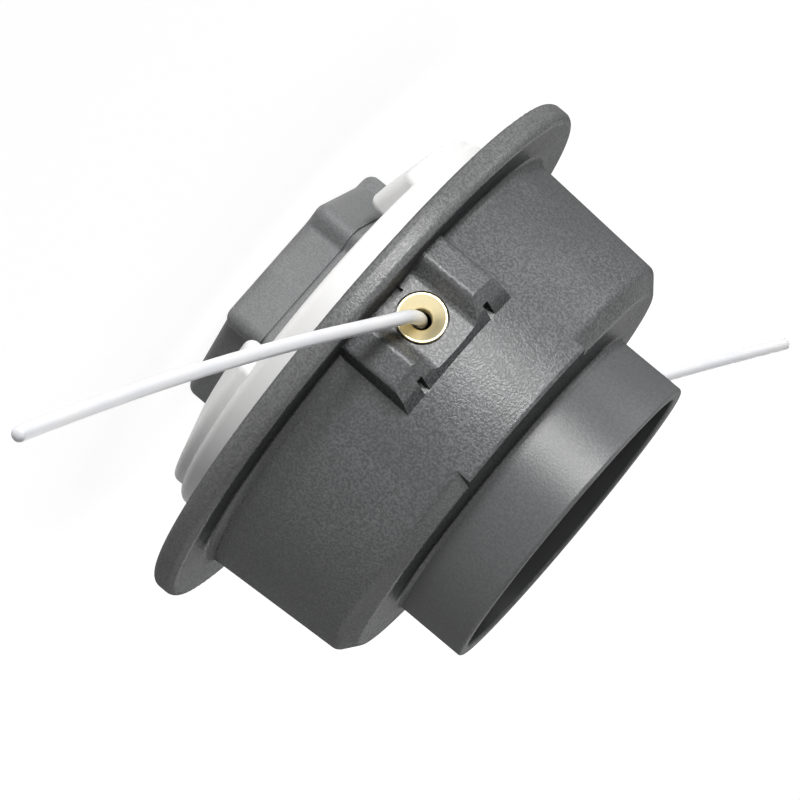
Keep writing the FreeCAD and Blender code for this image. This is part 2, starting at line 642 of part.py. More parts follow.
def build():
    """All the sub-parts, by node name."""
    front_eyelet = eyelet()
    return {
        "housing": housing(),
        "arbor_insert": arbor_insert(),
        "retaining_bolt": retaining_bolt(),
        "retaining_washer": retaining_washer(),
        "eyelet_front": front_eyelet,
        "eyelet_rear": half_turned(front_eyelet),
        "compression_spring": compression_spring(),
        "spring_seat": spring_seat(),
        "spool": spool(),
        "line_winding_lower": winding(PLATE_TOP_Z, DIVIDER_Z),
        "line_winding_upper": winding(DIVIDER_Z + DIVIDER_THICKNESS, UPPER_FLANGE_Z),
        "bump_knob": bump_knob(),
        "line_front": line_end(FRONT_ROUTE),
        "line_rear": line_end(REAR_ROUTE),
    }


os.makedirs("parts", exist_ok=True)
for name, shape in build().items():
    print(name, "solids", len(shape.Solids), "valid", shape.isValid(), "volume", round(shape.Volume, 1))
    shape.exportStep(os.path.join("parts", name + ".step"))
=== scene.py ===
"""Looks of a bump feed trimmer head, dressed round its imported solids.

Every length is in metres, in the frame of the solids: Z is the axis of rotation, from the bump knob up to the
collar, and the brass eyelets lie on -Y and +Y.
"""

from __future__ import annotations

import logging
import math
from abc import ABC, abstractmethod
from dataclasses import dataclass
from enum import Enum
from typing import Mapping, Union

import bpy
import numpy as np
from mathutils import Matrix, Vector

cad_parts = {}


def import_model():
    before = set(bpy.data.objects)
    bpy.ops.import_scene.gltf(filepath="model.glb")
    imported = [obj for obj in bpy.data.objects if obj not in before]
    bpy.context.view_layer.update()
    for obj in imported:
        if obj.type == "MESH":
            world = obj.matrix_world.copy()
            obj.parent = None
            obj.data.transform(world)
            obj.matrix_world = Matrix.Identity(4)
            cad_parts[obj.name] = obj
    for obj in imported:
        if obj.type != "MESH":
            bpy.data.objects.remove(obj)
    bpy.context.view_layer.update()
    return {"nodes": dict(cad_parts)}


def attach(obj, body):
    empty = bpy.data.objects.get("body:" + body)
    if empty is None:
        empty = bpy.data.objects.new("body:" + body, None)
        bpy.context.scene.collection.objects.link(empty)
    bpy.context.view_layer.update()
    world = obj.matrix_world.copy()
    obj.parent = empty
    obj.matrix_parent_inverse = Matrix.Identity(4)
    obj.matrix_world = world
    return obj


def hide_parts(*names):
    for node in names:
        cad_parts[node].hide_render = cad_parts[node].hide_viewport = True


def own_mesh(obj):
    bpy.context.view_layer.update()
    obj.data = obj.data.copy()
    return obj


LOG = logging.getLogger("trimmer_head")
MM = 0.001
WELD = 0.001 * MM
SHARP_ANGLE = math.radians(40.0)
FULL_TURN = 2.0 * math.pi
UPWARDS = np.array([0.0, 0.0, 1.0])

Colour = tuple[float, float, float, float]
Limits = tuple[float, float]
Value = Union["Shade", float]
Sockets = Mapping[Union[str, int], Union["Shade", float, Colour, Vector]]


class Body(str, Enum):
    """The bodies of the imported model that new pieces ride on."""

    HOUSING = "housing"
    SPOOL = "spool"


class Slot(str, Enum):
    """The record's material slots."""

    HOUSING = "housing_nylon"
    KNOB = "knob_nylon"
    SPOOL = "spool_nylon"
    LINE = "line_nylon"
    BRASS = "eyelet_brass"
    STEEL = "bright_steel"


def grey(level: float, warmth: float = 0.0) -> Colour:
    """A grey of one level, with red raised and blue lowered by its warmth."""
    return (level * (1.0 + warmth), level, level * (1.0 - warmth), 1.0)


class Shade:
    """A value in a material's node tree, so that shader maths is written as plain expressions."""

    def __init__(self, graph: Graph, socket: bpy.types.NodeSocket) -> None:
        """Wraps one output socket of a graph."""
        self.graph = graph
        self.socket = socket

    def maths(self, operation: str, *values: Value) -> Shade:
        """Adds one Math node.

        Args:
            operation: Blender's name of the operation.
            values: The numbers or shades it works on, in order.

        Returns:
            The node's result.
        """
        return self.graph.node("ShaderNodeMath", {"operation": operation}, dict(enumerate(values)))

    def __add__(self, other: Value) -> Shade:
        """This plus another value."""
        return self.maths("ADD", self, other)

    def __radd__(self, other: Value) -> Shade:
        """A number plus this."""
        return self.maths("ADD", other, self)

    def __sub__(self, other: Value) -> Shade:
        """This less another value."""
        return self.maths("SUBTRACT", self, other)

    def __rsub__(self, other: Value) -> Shade:
        """A number less this."""
        return self.maths("SUBTRACT", other, self)

    def __mul__(self, other: Value) -> Shade:
        """This times another value."""
        return self.maths("MULTIPLY", self, other)

    def __rmul__(self, other: Value) -> Shade:
        """A number times this."""
        return self.maths("MULTIPLY", other, self)

    def root(self) -> Shade:
        """The square root."""
        return self.maths("SQRT", self)

    def most(self, other: Value) -> Shade:
        """The larger of this and another value."""
        return self.maths("MAXIMUM", self, other)

    def ramp(self, low: float, high: float) -> Shade:
        """Rises smoothly from 0 at low to 1 at high, or falls where low is the larger.

        Args:
            low: The value that gives 0.
            high: The value that gives 1.

        Returns:
            A mask between 0 and 1.
        """
        sockets = {"Value": self, "From Min": min(low, high), "From Max": max(low, high)}
        sockets["To Min"], sockets["To Max"] = (0.0, 1.0) if low < high else (1.0, 0.0)
        return self.graph.node("ShaderNodeMapRange", {"interpolation_type": "SMOOTHSTEP"}, sockets)


class Graph:
    """The node tree of one material or of the world."""

    def __init__(self, tree: bpy.types.NodeTree) -> None:
        """Empties the tree, so that every node in it is made here."""
        self.tree = tree
        tree.nodes.clear()

    def node(
        self,
        kind: str,
        settings: Mapping[str, str | bool] | None = None,
        sockets: Sockets | None = None,
        output: str | int = 0,
    ) -> Shade:
        """Adds a node, sets it up and feeds its sockets.

        Args:
            kind: Blender's name of the node's type.
            settings: Its properties, set first.
            sockets: What goes into each input, by name or number: a shade is linked, anything else is set.
            output: The output that is wanted, by name or number.

        Returns:
            That output.
        """
        made = self.tree.nodes.new(kind)
        for name, value in (settings or {}).items():
            setattr(made, name, value)
        for key, value in (sockets or {}).items():
            if isinstance(value, Shade):
                self.tree.links.new(value.socket, made.inputs[key])
            else:
                made.inputs[key].default_value = value
        return Shade(self, made.outputs[output] if made.outputs else made.inputs[0])

    def place(self) -> Shade:
        """Object coordinates, which are the frame's own metres."""
        return self.node("ShaderNodeTexCoord", output="Object")

    def axes(self, place: Shade) -> tuple[Shade, Shade, Shade]:
        """The X, Y and Z of a place."""
        parts = self.node("ShaderNodeSeparateXYZ", sockets={0: place}).socket.node
        return tuple(Shade(self, parts.outputs[name]) for name in "XYZ")

    def noise(self, place: Shade, cell: float, detail: float = 2.0, twist: float = 0.0) -> Shade:
        """Soft noise.

        Args:
            place: Where it is read.
            cell: The size of its cells in metres.
            detail: How many finer layers are added.
            twist: How far the cells are drawn into curls.

        Returns:
            A value around 0.5.
        """
        sockets = {"Vector": place, "Scale": 1.0 / cell, "Detail": detail, "Distortion": twist}
        return self.node("ShaderNodeTexNoise", {"noise_dimensions": "3D"}, sockets, "Fac")

    def clouds(self, place: Shade, cell: float, limits: Limits) -> Shade:
        """A mask of soft patches: detailed noise that rises from 0 to 1 between two limits."""
        return self.noise(place, cell, detail=3.0).ramp(*limits)

    def specks(self, place: Shade, spacing: float, size: float) -> Shade:
        """Sparse round specks.

        Args:
            place: Where they are read.
            spacing: The mean distance between specks in metres.
            size: A speck's radius as a share of the spacing.

        Returns:
            A mask that is 1 in the inner two fifths of a speck.
        """
        sockets = {"Vector": place, "Scale": 1.0 / spacing}
        distance = self.node("ShaderNodeTexVoronoi", {"feature": "F1"}, sockets, "Distance")
        return distance.ramp(size, 0.4 * size)

    def blend(self, share: Shade, first: Shade | Colour, second: Shade | Colour) -> Shade:
        """Mixes two colours.

        Args:
            share: How much of the second colour shows, from 0 to 1.
            first: The colour at 0.
            second: The colour at 1.

        Returns:
            The mixed colour.
        """
        settings = {"data_type": "RGBA", "clamp_factor": True}
        return self.node("ShaderNodeMix", settings, {0: share, 6: first, 7: second}, 2)

    def bump(self, height: Shade, depth: float) -> Shade:
        """The normal of a surface raised by a height of 0 to 1 times a depth in metres."""
        return self.node("ShaderNodeBump", sockets={"Strength": 1.0, "Distance": depth, "Height": height})

    def surface(self, sockets: Sockets) -> None:
        """Ends the tree in a Principled surface with these sockets."""
        self.finish(self.node("ShaderNodeBsdfPrincipled", sockets=sockets))

    def layered(self, body: Sockets, sheen: Sockets, share: float) -> None:
        """Ends the tree in a matt body with an even sheen over it, which doesn't grow towards the outline.

        Args:
            body: The sockets of the body's Principled surface.
            sheen: The sockets of the sheen's Principled surface.
            share: How much of the sheen shows.
        """
        under, over = (self.node("ShaderNodeBsdfPrincipled", sockets=layer) for layer in (body, sheen))
        self.finish(self.node("ShaderNodeMixShader", sockets={0: share, 1: under, 2: over}))

    def finish(self, shader: Shade, kind: str = "ShaderNodeOutputMaterial") -> None:
        """Ends the tree in an output node of a kind, fed by a shader."""
        self.node(kind, sockets={"Surface": shader})


@dataclass(frozen=True)
class Finish(ABC):
    """A finish that makes its own material once and puts it on pieces."""

    slot: Slot

    @abstractmethod
    def draw(self, graph: Graph) -> None:
        """Draws the finish into an empty node tree."""

    def material(self) -> bpy.types.Material:
        """Finds the finish's material, or makes it on first use.

        Returns:
            The material.
        """
        name = self.slot.value + "_look"
        made = bpy.data.materials.get(name)
        if made is None:
            made = bpy.data.materials.new(name)
            made.use_nodes = True
            self.draw(Graph(made.node_tree))
        return made

    def dress(self, piece: bpy.types.Object) -> None:
        """Puts the finish on a piece, in place of whatever it has.

        Args:
            piece: A carried-over solid, or a new mesh or curve.
        """
        if not piece.material_slots:
            piece.data.materials.append(None)
        for held in piece.material_slots:
            held.material = self.material()


@dataclass(frozen=True)
class GrainedNylon(Finish):
    """Black glass-filled nylon: a moulded grain, finer on the collar, under an even sheen."""

    slot: Slot = Slot.HOUSING
    valley: Colour = grey(0.07, -0.03)
    crest: Colour = grey(0.18, -0.02)
    rubbed: Colour = grey(0.18)
    dust: Colour = grey(0.36)
    gloss: Colour = grey(0.9)
    grain_cell: float = 0.44 * MM
    grain_depth: float = 0.034 * MM
    grain_limits: Limits = (0.38, 0.64)
    coarse_share: float = 0.75
    fine_scale: float = 0.4
    cloud_cell: float = 14.0 * MM
    cloud_limits: Limits = (0.3, 0.7)
    least_pale: float = 0.55
    least_rubbed: float = 0.35
    rub_strength: float = 0.6
    mote_spacing: float = 3.4 * MM
    mote_size: float = 0.05
    mote_patch: float = 9.0 * MM
    patch_limits: Limits = (0.5, 0.62)
    dust_strength: float = 0.5
    body_roughness: float = 0.6
    sheen: float = 0.054
    sheen_relief: float = 0.6
    sheen_roughness: float = 0.26
    collar_rougher: float = 0.07
    cloud_rougher: float = 0.04
    collar_base: float = 53.9 * MM
    collar_blend: float = 0.6 * MM
    collar_calm: float = 0.6
    collar_pale: float = 0.3
    bore_radius: float = 28.2 * MM
    bore_blend: float = 0.3 * MM
    well_floor: float = 50.0 * MM
    well_blend: float = 1.0 * MM
    well_calm: float = 0.9
    rim_edge: float = 54.0 * MM
    rim_blend: float = 0.8 * MM

    def draw(self, graph: Graph) -> None:
        """Draws the grain, the rubbed rim, the specks of dust and the sheen.

        The grain's height is a coarse and a fine noise added by their shares, and it is calmer on the collar
        and in its well. The crests are paler than the valleys, and more so in some patches than in others.

        Args:
            graph: The empty node tree.
        """
        place = graph.place()
        x, y, z = graph.axes(place)
        radius = (x * x + y * y).root()
        collar = z.ramp(self.collar_base, self.collar_base + self.collar_blend)
        well = radius.ramp(self.bore_radius + self.bore_blend, self.bore_radius)
        well = well * z.ramp(self.well_floor, self.well_floor + self.well_blend)
        coarse = graph.noise(place, self.grain_cell, detail=1.5, twist=0.2)
        fine = graph.noise(place, self.fine_scale * self.grain_cell)
        grain = (self.coarse_share * coarse + (1.0 - self.coarse_share) * fine).ramp(*self.grain_limits)
        raised = grain * ((1.0 - self.collar_calm * collar) * (1.0 - self.well_calm * well))
        cloud = graph.clouds(place, self.cloud_cell, self.cloud_limits)
        pale = raised * (self.least_pale + (1.0 - self.least_pale) * cloud) + self.collar_pale * collar
        tone = graph.blend(pale, self.valley, self.crest)
        edge = radius.ramp(self.rim_edge, self.rim_edge + self.rim_blend)
        edge = edge * (self.least_rubbed + (1.0 - self.least_rubbed) * grain)
        tone = graph.blend(edge * self.rub_strength, tone, self.rubbed)
        motes = graph.specks(place, self.mote_spacing, self.mote_size)
        motes = motes * graph.noise(place, self.mote_patch).ramp(*self.patch_limits)
        tone = graph.blend(motes * self.dust_strength, tone, self.dust)
        body = {
            "Base Color": tone,
            "Roughness": self.body_roughness,
            "Specular IOR Level": 0.0,
            "Normal": graph.bump(raised, self.grain_depth),
        }
        sheen = {
            "Base Color": self.gloss,
            "Metallic": 1.0,
            "Roughness": self.sheen_roughness + self.collar_rougher * collar + self.cloud_rougher * cloud,
            "Normal": graph.bump(raised, self.sheen_relief * self.grain_depth),
        }
        graph.layered(body, sheen, self.sheen)


@dataclass(frozen=True)
class SatinNylon(Finish):
    """Black nylon with a fine satin skin, rubbed pale where the knob meets the ground."""

    slot: Slot = Slot.KNOB
    shadow: Colour = grey(0.125, -0.02)
    light: Colour = grey(0.21, -0.01)
    scuffed: Colour = grey(0.28)
    skin_cell: float = 0.3 * MM
    skin_depth: float = 0.045 * MM
    skin_limits: Limits = (0.35, 0.65)
    skin_share: float = 0.55
    cloud_cell: float = 11.0 * MM
    cloud_limits: Limits = (0.3, 0.7)
    scuff_cell: float = 1.8 * MM
    scuff_limits: Limits = (0.5, 0.7)
    scuff_strength: float = 0.7
    worn_height: float = 1.6 * MM
    specular: float = 0.35
    roughness: float = 0.5
    cloud_rougher: float = 0.12
    scuff_rougher: float = 0.15

    def draw(self, graph: Graph) -> None:
        """Draws fine skin noise over slow clouds, and curled scuffs near the flat bottom.

        Args:
            graph: The empty node tree.
        """
        place = graph.place()
        z = graph.axes(place)[2]
        skin = graph.noise(place, self.skin_cell)
        cloud = graph.clouds(place, self.cloud_cell, self.cloud_limits)
        pale = self.skin_share * skin.ramp(*self.skin_limits) + (1.0 - self.skin_share) * cloud
        tone = graph.blend(pale, self.shadow, self.light)
        scuffs = graph.noise(place, self.scuff_cell, detail=4.0, twist=1.5).ramp(*self.scuff_limits)
        scuffs = scuffs * z.ramp(self.worn_height, 0.0)
        graph.surface({
            "Base Color": graph.blend(scuffs * self.scuff_strength, tone, self.scuffed),
            "Roughness": self.roughness + self.cloud_rougher * cloud + self.scuff_rougher * scuffs,
            "Specular IOR Level": self.specular,
            "Normal": graph.bump(skin, self.skin_depth),
        })


@dataclass(frozen=True)
class WhiteNylon(Finish):
    """White nylon of the spool, satin, with faint clouding."""

    slot: Slot = Slot.SPOOL
    clear: Colour = grey(0.87, 0.005)
    clouded: Colour = grey(0.80, 0.012)
    cloud_cell: float = 16.0 * MM
    cloud_limits: Limits = (0.35, 0.75)
    cloud_strength: float = 0.6
    skin_cell: float = 0.7 * MM
    skin_depth: float = 0.02 * MM
    roughness: float = 0.42
    skin_rougher: float = 0.12

    def draw(self, graph: Graph) -> None:
        """Draws two tones of white mixed by clouds, over a fine skin.

        Args:
            graph: The empty node tree.
        """
        place = graph.place()
        cloud = graph.clouds(place, self.cloud_cell, self.cloud_limits)
        skin = graph.noise(place, self.skin_cell)
        graph.surface({
            "Base Color": graph.blend(cloud * self.cloud_strength, self.clear, self.clouded),
            "Roughness": self.roughness + self.skin_rougher * skin,
            "Normal": graph.bump(skin, self.skin_depth),
        })


@dataclass(frozen=True)
class MilkyNylon(Finish):
    """Nylon line: milky white, with a soft gloss and light that spreads inside it."""

    slot: Slot = Slot.LINE
    clear: Colour = (0.82, 0.83, 0.86, 1.0)
    milky: Colour = (0.88, 0.88, 0.89, 1.0)
    patch_cell: float = 9.0 * MM
    patch_limits: Limits = (0.3, 0.7)
    spread: float = 1.2 * MM
    spread_weight: float = 0.2
    roughness: float = 0.32
    patch_rougher: float = 0.06

    def draw(self, graph: Graph) -> None:
        """Draws two near whites mixed by smooth noise, with light that scatters a little below the skin.

        Args:
            graph: The empty node tree.
        """
        patches = graph.noise(graph.place(), self.patch_cell, detail=1.0).ramp(*self.patch_limits)
        graph.surface({
            "Base Color": graph.blend(patches, self.clear, self.milky),
            "Roughness": self.roughness + self.patch_rougher * patches,
            "Subsurface Weight": self.spread_weight,
            "Subsurface Radius": Vector((self.spread, self.spread, self.spread)),
            "Subsurface Scale": 1.0,
        })


@dataclass(frozen=True)
class TurnedBrass(Finish):
    """Polished brass with the fine rings that a lathe leaves round each eyelet's own axis."""

    slot: Slot = Slot.BRASS
    bright: Colour = (0.93, 0.82, 0.52, 1.0)
    dull: Colour = (0.85, 0.71, 0.40, 1.0)
    dulling: float = 0.3
    axis_height: float = 29.1 * MM
    ring_pitch: float = 0.11 * MM
    ring_depth: float = 0.003 * MM
    tarnish_cell: float = 1.5 * MM
    tarnish_limits: Limits = (0.45, 0.8)
    roughness: float = 0.26
    ring_rougher: float = 0.12
    tarnish_rougher: float = 0.04

    def draw(self, graph: Graph) -> None:
        """Draws rings, which are noise read along the distance from the eyelet's axis alone, and tarnish.

        Args:
            graph: The empty node tree.
        """
        place = graph.place()
        x, _, z = graph.axes(place)
        drop = z - self.axis_height
        reach = (x * x + drop * drop).root()
        along = graph.node("ShaderNodeCombineXYZ", sockets={"X": reach})
        rings = graph.noise(along, self.ring_pitch, detail=3.0)
        tarnish = graph.clouds(place, self.tarnish_cell, self.tarnish_limits)
        graph.surface({
            "Base Color": graph.blend(self.dulling * (tarnish + rings), self.bright, self.dull),
            "Metallic": 1.0,
            "Roughness": self.roughness + self.ring_rougher * rings + self.tarnish_rougher * tarnish,
            "Normal": graph.bump(rings, self.ring_depth),
        })


@dataclass(frozen=True)
class PlatedSteel(Finish):
    """Zinc-plated steel with turning marks round the axis of rotation, and an oiled bore."""

    slot: Slot = Slot.STEEL
    bright: Colour = (0.64, 0.64, 0.65, 1.0)
    dull: Colour = (0.46, 0.46, 0.45, 1.0)
    oiled: Colour = (0.30, 0.29, 0.27, 1.0)
    dulling: float = 0.7
    ring_pitch: float = 0.14 * MM
    ring_depth: float = 0.016 * MM
    cloud_cell: float = 3.0 * MM
    cloud_limits: Limits = (0.35, 0.75)
    bore_radius: float = 5.1 * MM
    bore_blend: float = 0.5 * MM
    roughness: float = 0.24
    ring_rougher: float = 0.16
    cloud_rougher: float = 0.12

    def draw(self, graph: Graph) -> None:
        """Draws rings, which are noise read along the radius and height alone, dulled by plating clouds.

        Args:
            graph: The empty node tree.
        """
        place = graph.place()
        x, y, z = graph.axes(place)
        radius = (x * x + y * y).root()
        along = graph.node("ShaderNodeCombineXYZ", sockets={"X": radius, "Z": z})
        rings = graph.noise(along, self.ring_pitch)
        cloud = graph.clouds(place, self.cloud_cell, self.cloud_limits)
        bore = radius.ramp(self.bore_radius, self.bore_radius - self.bore_blend)
        tone = graph.blend(self.dulling * cloud, self.bright, self.dull)
        graph.surface({
            "Base Color": graph.blend(bore, tone, self.oiled),
            "Metallic": 1.0,
            "Roughness": self.roughness + self.ring_rougher * rings + self.cloud_rougher * cloud,
            "Normal": graph.bump(rings, self.ring_depth),
        })


def show(piece: bpy.types.Object) -> bpy.types.Object:
    """Links an object to the scene, and returns it."""
    bpy.context.scene.collection.objects.link(piece)
    return piece


def settle(piece: bpy.types.Object, finish: Finish, body: Body) -> None:
    """Dresses a new piece and sets it on the body that carries it.

    Args:
        piece: The new mesh or curve.
        finish: What it wears.
        body: The body that it rides on.
    """
    finish.dress(piece)
    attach(piece, body.value)


def angles(steps: int) -> np.ndarray:
    """The angles of evenly spaced steps round one turn, in radians."""
    return np.linspace(0.0, FULL_TURN, steps, endpoint=False)


def grid_mesh(name: str, points: np.ndarray, round_across: bool, round_along: bool) -> bpy.types.Object:
    """A mesh from a grid of points, one quad for each cell.

    Points are rounded to the weld distance and doubled ones are merged, so a cell with fewer than three
    corners left is dropped.

    Args:
        name: The piece's name.
        points: An array of rows, columns and three coordinates.
        round_across: True where the last column joins the first.
        round_along: True where the last row joins the first.

    Returns:
        The linked object, smooth shaded.
    """
    rows, columns = points.shape[:2]
    row = np.arange(rows if round_along else rows - 1)[:, None]
    column = np.arange(columns if round_across else columns - 1)[None, :]
    below, above = row * columns, (row + 1) % rows * columns
    ahead = (column + 1) % columns
    cells = np.stack([below + column, below + ahead, above + ahead, above + column], axis=-1).reshape(-1, 4)
    whole = np.round(points.reshape(-1, 3) / WELD).astype(np.int64)
    spots, keep = np.unique(whole, axis=0, return_inverse=True)
    corners = [list(dict.fromkeys(cell)) for cell in keep.reshape(-1)[cells].tolist()]
    mesh = bpy.data.meshes.new(name)
    mesh.from_pydata((spots * WELD).tolist(), [], [cell for cell in corners if len(cell) > 2])
    mesh.validate()
    mesh.shade_smooth()
    mesh.set_sharp_from_angle(angle=SHARP_ANGLE)
    return show(bpy.data.objects.new(name, mesh))


def turned_grid(profile: np.ndarray, origin: np.ndarray, along: np.ndarray, steps: int) -> np.ndarray:
    """Points of a surface of revolution about any axis.

    Each point of the profile is carried round the axis, to origin + distance * along + radius * (cos t * a +
    sin t * b), where a and b are two directions across the axis.

    Args:
        profile: Rows of radius and distance along the axis.
        origin: The axis's start.
        along: The axis's direction, of unit length.
        steps: Points round one turn.

    Returns:
        An array of profile points, steps and three coordinates.
    """
    across = np.cross(along, UPWARDS)
    across /= np.linalg.norm(across)
    third = np.cross(along, across)
    turn = angles(steps)
    circle = np.cos(turn)[:, None] * across + np.sin(turn)[:, None] * third
    return origin + profile[:, 1, None, None] * along + profile[:, 0, None, None] * circle


def ring_grid(radius: np.ndarray, levels: np.ndarray, turn: np.ndarray) -> np.ndarray:
    """Points round the axis of rotation: radius * cos t, radius * sin t and the level.

    Args:
        radius: A row of radii for each level, with one radius for each angle.
        levels: The height of each row.
        turn: The angles t.

    Returns:
        An array of levels, angles and three coordinates.
    """
    height = np.repeat(levels[:, None], len(turn), axis=1)
    return np.stack([radius * np.cos(turn), radius * np.sin(turn), height], axis=-1)


@dataclass(frozen=True)
class CuttingLine:
    """A free end of the cutting line, from inside the drum through its eyelet to a rounded tip."""

    node: str
    route: tuple[tuple[float, float, float], ...]
    length: float
    diameter: float = 2.4 * MM
    tip_depth: float = 0.8 * MM
    steps_a_point: int = 24
    bevel_steps: int = 8
    tip_rings: int = 12
    tip_steps: int = 36
    finish: Finish = MilkyNylon()

    def points(self) -> np.ndarray:
        """The route's points in metres."""
        return np.array(self.route) * MM

    def build(self) -> bpy.types.Object:
        """The line as one smooth curve with the route's points as its control points.

        Returns:
            The curve object.
        """
        points = self.points()
        curve = bpy.data.curves.new(self.node + "_run", "CURVE")
        curve.dimensions = "3D"
        spline = curve.splines.new("NURBS")
        spline.points.add(len(points) - 1)
        spline.points.foreach_set("co", np.column_stack([points, np.ones(len(points))]).ravel())
        spline.order_u = 3
        spline.use_endpoint_u = True
        spline.resolution_u = self.steps_a_point
        curve.bevel_depth = 0.5 * self.diameter
        curve.bevel_resolution = self.bevel_steps
        curve.use_fill_caps = True
        return show(bpy.data.objects.new(self.node + "_run", curve))

    def tip(self) -> bpy.types.Object:
        """The rounded end: a quarter of an ellipse turned about the line's last direction.

        Returns:
            The tip as a closed mesh.
        """
        points = self.points()
        along = points[-1] - points[-2]
        along /= np.linalg.norm(along)
        bend = np.linspace(0.0, 0.25 * FULL_TURN, self.tip_rings)
        dome = np.column_stack([0.5 * self.diameter * np.cos(bend), self.tip_depth * np.sin(bend)])
        profile = np.vstack([[0.0, 0.0], dome])
        grid = turned_grid(profile, points[-1], along, self.tip_steps)
        return grid_mesh(self.node + "_tip", grid, True, False)

    def assemble(self) -> list[bpy.types.Object]:
        """Returns:
            Both pieces.
        """
        run, tip = self.build(), self.tip()
        for piece in (run, tip):
            settle(piece, self.finish, Body.HOUSING)
        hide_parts(self.node)
        return [run, tip]


@dataclass(frozen=True)
class CoilSpring:
    """The compression spring: round wire with flatter end coils, built at one length, though the real one
    shortens as the knob is bumped.
    """

    node: str = "compression_spring"
    joint: str = "bump_travel"
    seat: float = 33.2 * MM
    ceiling: float = 49.8 * MM
    coil_radius: float = 11.9 * MM
    wire_radius: float = 0.8 * MM
    turns: float = 5.0
    travel: float = 6.0 * MM
    steps_a_turn: int = 48
    sides: int = 14
    finish: Finish = PlatedSteel()

    def build(self) -> bpy.types.Object:
        """A circle carried along a helix whose rise is gentler at both ends.

        The height at a share s of the path is the mean of s and a smooth step of s, so the end coils lie
        flatter than the middle ones. The first and last rings shrink to a point, which closes the wire.

        Returns:
            The spring as a closed mesh.
        """
        share = np.linspace(0.0, 1.0, int(self.turns * self.steps_a_turn) + 1)
        share = np.concatenate([[0.0], share, [1.0]])
        wire = np.full(share.shape, self.wire_radius)
        wire[[0, -1]] = 0.0
        low, high = self.seat + self.wire_radius, self.ceiling - self.wire_radius
        rise = 0.5 * share + 0.5 * share * share * (3.0 - 2.0 * share)
        turn = FULL_TURN * self.turns * share
        outwards = np.column_stack([np.cos(turn), np.sin(turn), np.zeros_like(turn)])
        middle = self.coil_radius * outwards + np.outer(low + rise * (high - low), UPWARDS)
        around = angles(self.sides)
        ring = np.cos(around)[None, :, None] * outwards[:, None, :]
        ring = ring + np.sin(around)[None, :, None] * UPWARDS
        points = middle[:, None, :] + wire[:, None, None] * ring
        return grid_mesh(self.node + "_wire", points[:, ::-1], True, False)

    def assemble(self) -> list[bpy.types.Object]:
        """Makes the spring, with a mesh of its own.

        Returns:
            The one piece.
        """
        piece = self.build()
        settle(piece, self.finish, Body.HOUSING)
        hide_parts(self.node)
        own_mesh(piece)
        return [piece]


@dataclass(frozen=True)
class ThreadedInsert:
    """The steel insert in the collar: a hexagon on a shank, with the arbor's left-hand thread in its bore."""

    node: str = "arbor_insert"
    flats: float = 14.0 * MM
    sides: int = 6
    shank: float = 6.8 * MM
    bottom: float = 29.0 * MM
    hexagon_bottom: float = 46.3 * MM
    thread_bottom: float = 43.8 * MM
    top: float = 57.8 * MM
    minor: float = 4.5 * MM
    major: float = 5.05 * MM
    lower_bore: float = 5.1 * MM
    pitch: float = 1.0 * MM
    rows_a_pitch: int = 10
    steps: int = 96
    finish: Finish = PlatedSteel()

    def thread_rows(self) -> int:
        """Rings along the thread."""
        return int(round((self.top - self.thread_bottom) / self.pitch * self.rows_a_pitch)) + 1

    def build(self) -> bpy.types.Object:
        """A grid of rings that runs up the outside, over the mouth and down the bore.

        The hexagon's radius at an angle t is half its flats over the cosine of t's distance from the middle
        of its flat. The thread's radius is a triangle wave of height / pitch + t / turn, so that it climbs to
        the left, and it widens to a countersink at the mouth.

        Returns:
            The insert as a closed mesh.
        """
        turn = angles(self.steps)
        even = np.ones_like(turn)
        side = FULL_TURN / self.sides
        hexagon = 0.5 * self.flats / np.cos(np.mod(turn, side) - 0.5 * side)
        height = np.linspace(self.top, self.thread_bottom, self.thread_rows())
        climb = height[:, None] / self.pitch + turn[None, :] / FULL_TURN
        wave = np.abs(2.0 * (climb - np.floor(climb)) - 1.0)
        thread = self.minor + (self.major - self.minor) * wave
        mouth = self.major - (self.top - height)[:, None]
        thread = np.maximum(thread, mouth)
        shank, bore = self.shank * even, self.lower_bore * even
        radius = np.vstack([shank, shank, hexagon, hexagon, thread, bore, bore])
        outside = [self.bottom, self.hexagon_bottom, self.hexagon_bottom, self.top]
        levels = np.concatenate([outside, height, [self.thread_bottom, self.bottom]])
        return grid_mesh(self.node + "_thread", ring_grid(radius, levels, turn), True, True)

    def assemble(self) -> list[bpy.types.Object]:
        """Makes the insert.

        Returns:
            The one piece.
        """
        piece = self.build()
        settle(piece, self.finish, Body.HOUSING)
        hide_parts(self.node)
        return [piece]


